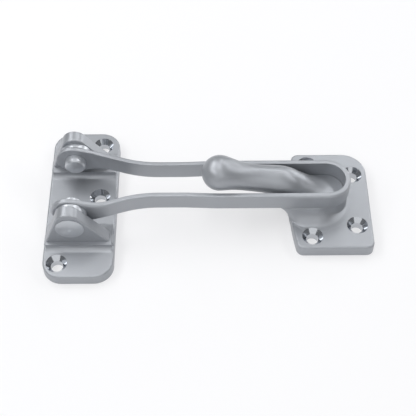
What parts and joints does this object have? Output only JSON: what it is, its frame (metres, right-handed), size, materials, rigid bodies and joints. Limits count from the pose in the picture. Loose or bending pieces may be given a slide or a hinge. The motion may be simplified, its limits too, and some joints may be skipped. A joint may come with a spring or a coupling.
{
  "type": "door guard",
  "caption": "Door guard: a long looped bar hinged on a lugged plate swings down over a curved, ball-ended horn on a separate strike plate.",
  "frame": {"origin": "centre of the hinge plate's back face", "axes": "+X from the hinge plate to the strike plate, +Y along the hinge axis to the far lug, +Z off the door, away from the back faces"},
  "size_m": [0.1649, 0.092, 0.038],
  "materials": {
    "plated_casting": "satin",
    "plated_pin": "satin",
    "plated_washer": "satin",
    "plated_bar": "satin"
  },
  "bodies": {
    "plates": {"hinge_plate": "plated_casting", "near_pin": "plated_pin", "far_pin": "plated_pin", "near_washer": "plated_washer", "far_washer": "plated_washer", "strike_plate": "plated_casting"},
    "bar": {"guard_bar": "plated_bar"}
  },
  "joints": [
    {"name": "bar_hinge", "type": "hinge", "parent": "plates", "child": "bar", "pos_m": [-0.0032, 0, 0.02], "axis": [0, -1, 0], "range_deg": [0, 180]}
  ]
}
